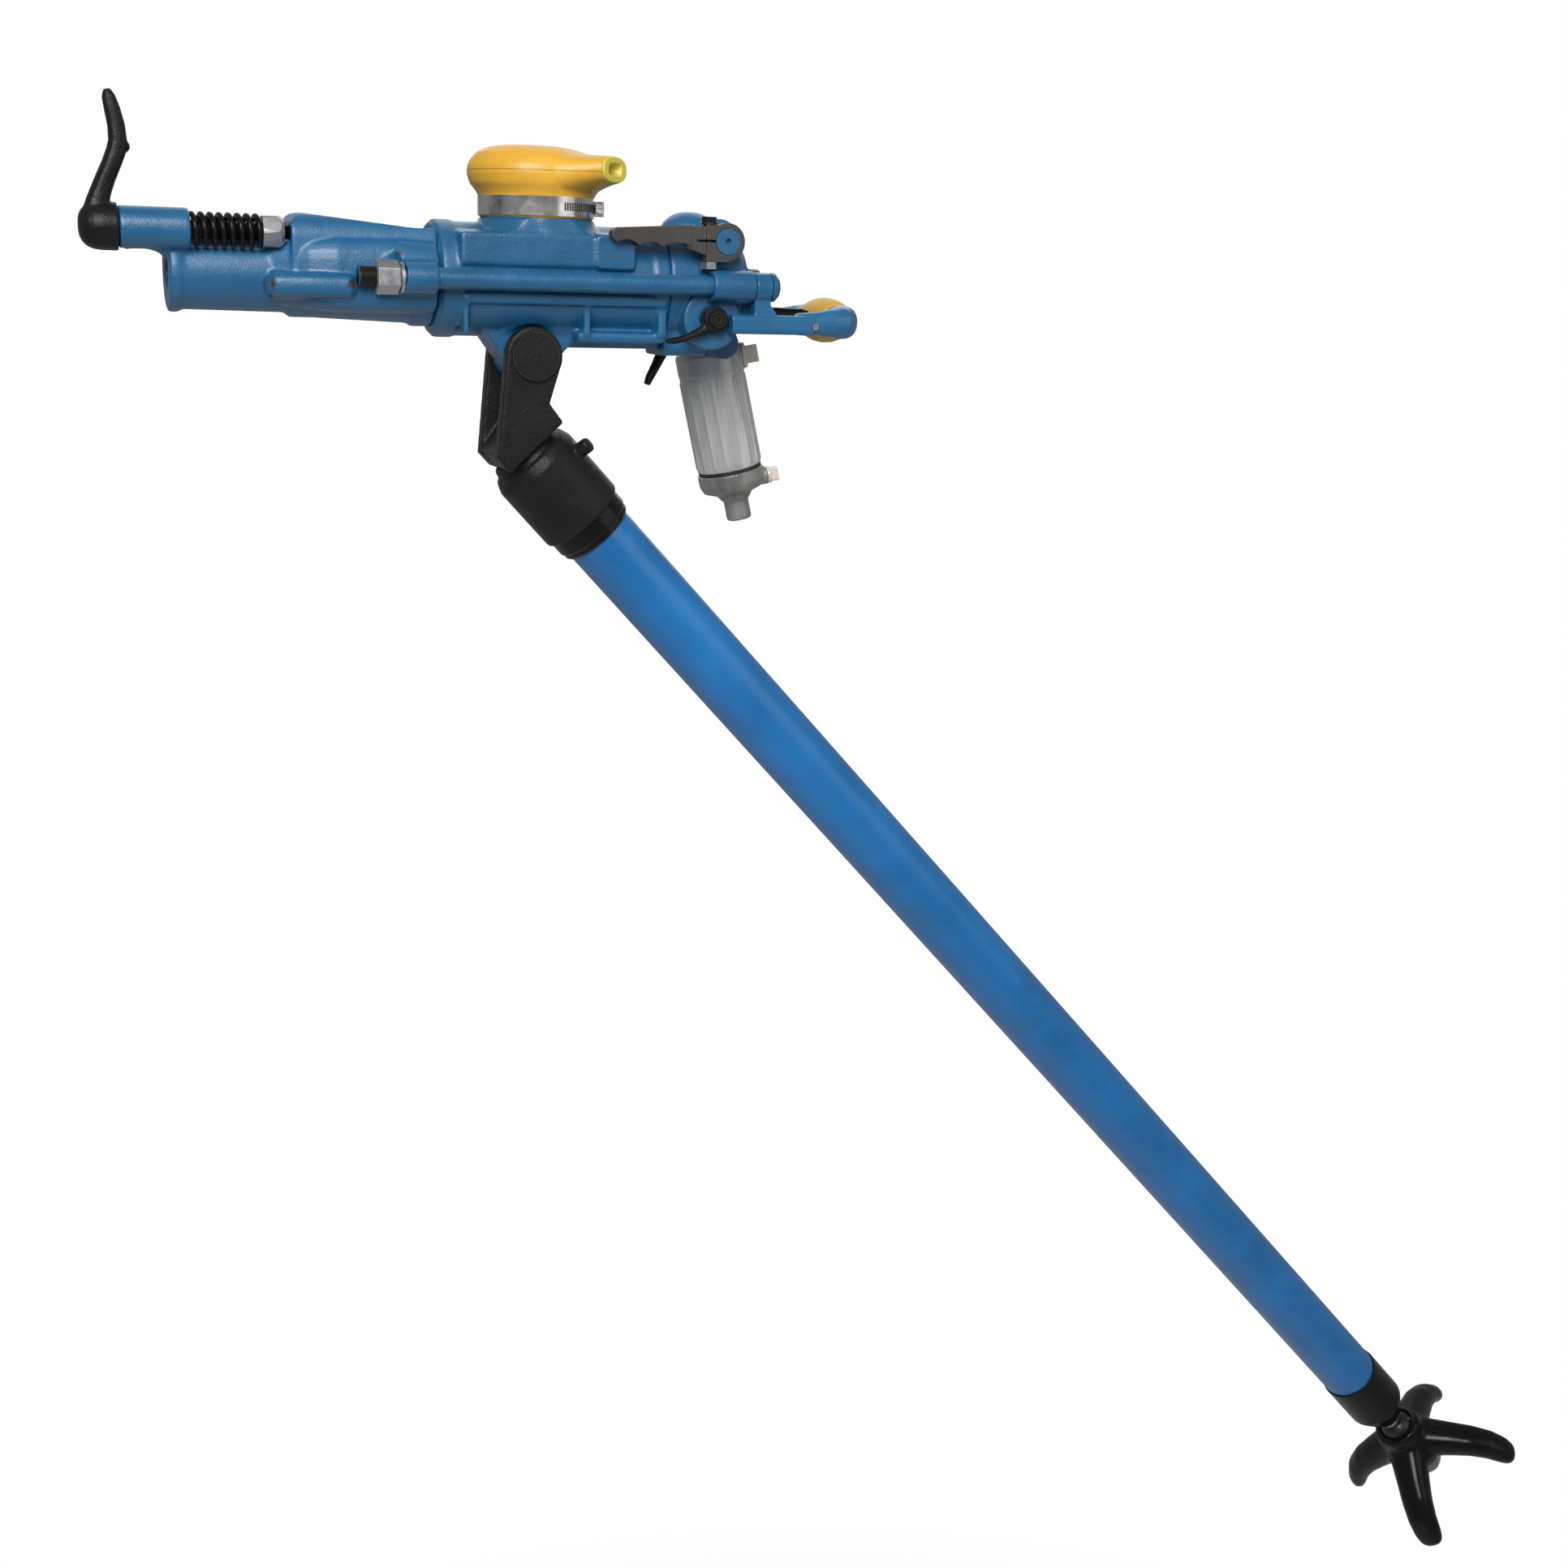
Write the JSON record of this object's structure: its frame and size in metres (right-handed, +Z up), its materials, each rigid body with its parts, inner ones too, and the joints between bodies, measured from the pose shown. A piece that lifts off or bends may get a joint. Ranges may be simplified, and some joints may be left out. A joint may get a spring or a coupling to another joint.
{
  "type": "pneumatic rock drill",
  "caption": "Hand-held pneumatic rock drill with exhaust silencer, line oiler and telescopic air leg, for drilling blast holes in rock",
  "frame": {"origin": "centre of the nose's front face, where the drill steel enters, on the drill axis", "axes": "+X along the drill axis from the nose back to the operator's handle, +Z up, throttle and spring bolt on the -Y side"},
  "size_m": [1.7263, 0.2064, 1.733],
  "materials": {
    "blue_paint": "satin enamel over cast iron",
    "leg_blue": "smooth enamel on drawn tube",
    "black_paint": "semi-gloss black over casting",
    "forged_black": "oiled black forging",
    "zinc_steel": "bright zinc",
    "steel": "ground steel",
    "bronze": "machined bronze",
    "yellow_rubber": "matt moulded rubber",
    "grey_alloy": "die-cast, lightly ribbed",
    "beige_plastic": "moulded",
    "black_rubber": "matt"
  },
  "bodies": {
    "drill": {"front_head": "blue_paint", "cylinder": "blue_paint", "exhaust_silencer": "yellow_rubber", "silencer_clamp": "zinc_steel", "clamp_screw": "zinc_steel", "rear_head": "blue_paint", "side_rods": "blue_paint", "side_rod_nuts": "zinc_steel", "side_rod_washers": "zinc_steel", "handle_frame": "blue_paint", "handle_grip": "yellow_rubber", "trigger_pin": "steel", "front_guide_bush": "bronze", "valve_chest": "steel", "valve_cover": "steel", "ratchet_ring": "steel", "water_inlet": "zinc_steel", "water_needle": "steel"},
    "retainer": {"steel_retainer": "forged_black", "retainer_bolt": "forged_black", "retainer_nut": "zinc_steel", "retainer_spring": "forged_black"},
    "chuck": {"chuck_driver": "steel", "chuck_bushing": "steel"},
    "hammer": {"piston": "steel", "rifle_nut": "bronze"},
    "rifle": {"rifle_bar": "steel", "pawls": "steel"},
    "air_valve": {"valve": "steel"},
    "throttle": {"throttle_lever": "forged_black", "throttle_clamp_bolt": "forged_black", "throttle_clamp_nut": "zinc_steel", "throttle_valve": "blue_paint"},
    "regulator": {"regulator_valve": "steel", "regulator_lever": "forged_black", "regulator_lever_far": "forged_black", "regulator_bolt": "forged_black"},
    "trigger": {"retract_trigger": "black_paint"},
    "oiler": {"air_inlet_elbow": "grey_alloy", "inlet_nut": "zinc_steel", "lubricator_body": "grey_alloy", "lubricator_o_ring": "black_rubber", "lubricator_end_cap": "grey_alloy"},
    "filler": {"filler_plug": "beige_plastic"},
    "oil_screw": {"oil_knob": "beige_plastic"},
    "leg": {"leg_yoke": "black_paint", "leg_pivot_shaft": "black_paint", "leg_head": "black_paint", "leg_collar": "black_paint", "leg_outer_tube": "leg_blue", "leg_end_cap": "black_paint", "leg_guide_bush": "bronze"},
    "leg_ram": {"leg_rod": "steel", "leg_piston": "steel", "leg_piston_seal": "black_rubber"},
    "foot": {"leg_foot": "black_paint"}
  },
  "joints": [
    {"name": "retainer_swing", "type": "hinge", "parent": "drill", "child": "retainer", "pos_m": [0, -0.031, 0.036], "axis": [1, 0, 0], "range_deg": [-118, 20]},
    {"name": "chuck_spin", "type": "hinge", "parent": "drill", "child": "chuck", "pos_m": [0.1, 0, 0], "axis": [1, 0, 0], "continuous": true},
    {"name": "piston_stroke", "type": "slide", "parent": "chuck", "child": "hammer", "axis": [1, 0, 0], "range_m": [0, 0.06]},
    {"name": "rifle_turn", "type": "hinge", "parent": "drill", "child": "rifle", "pos_m": [0.44, 0, 0], "axis": [1, 0, 0], "range_deg": [0, 26]},
    {"name": "valve_shift", "type": "slide", "parent": "drill", "child": "air_valve", "axis": [1, 0, 0], "range_m": [0, 0.003]},
    {"name": "throttle_turn", "type": "hinge", "parent": "drill", "child": "throttle", "pos_m": [0.5057, 0, 0.0408], "axis": [0, 1, 0], "range_deg": [0, 100]},
    {"name": "regulator_turn", "type": "hinge", "parent": "drill", "child": "regulator", "pos_m": [0.4965, 0, -0.0313], "axis": [0, 1, 0], "range_deg": [-25, 20]},
    {"name": "retract_pull", "type": "hinge", "parent": "drill", "child": "trigger", "pos_m": [0.596, 0, -0.036], "axis": [0, 1, 0], "range_deg": [0, 12], "stiffness_Nm_per_rad": 3, "springref_deg": -8.59},
    {"name": "inlet_swivel", "type": "hinge", "parent": "drill", "child": "oiler", "pos_m": [0.536, 0.05, -0.056], "axis": [0, 1, 0], "range_deg": [-12, 10]},
    {"name": "filler_turn", "type": "hinge", "parent": "oiler", "child": "filler", "pos_m": [0.57185, 0.06, -0.06825], "axis": [0.8831, -0.4226, 0.2039], "range_deg": [0, 180]},
    {"name": "oil_screw_turn", "type": "hinge", "parent": "oiler", "child": "oil_screw", "pos_m": [0.60364, 0.062, -0.19023], "axis": [0.9156, -0.342, 0.2114], "range_deg": [-180, 180]},
    {"name": "leg_pivot", "type": "hinge", "parent": "drill", "child": "leg", "pos_m": [0.3254, 0, -0.0684], "axis": [0, 1, 0], "range_deg": [-45, 60]},
    {"name": "leg_extend", "type": "slide", "parent": "leg", "child": "leg_ram", "axis": [0.6778, 0, -0.7353], "range_m": [0, 1.365]},
    {"name": "foot_tilt", "type": "hinge", "parent": "leg_ram", "child": "foot", "pos_m": [1.51472, 0, -1.45008], "axis": [-0.7353, 0, -0.6778], "range_deg": [-25, 25]}
  ],
  "couplings": [
    {"joint": "rifle_turn", "follows": "piston_stroke", "rad_per_m": 7.306}
  ]
}
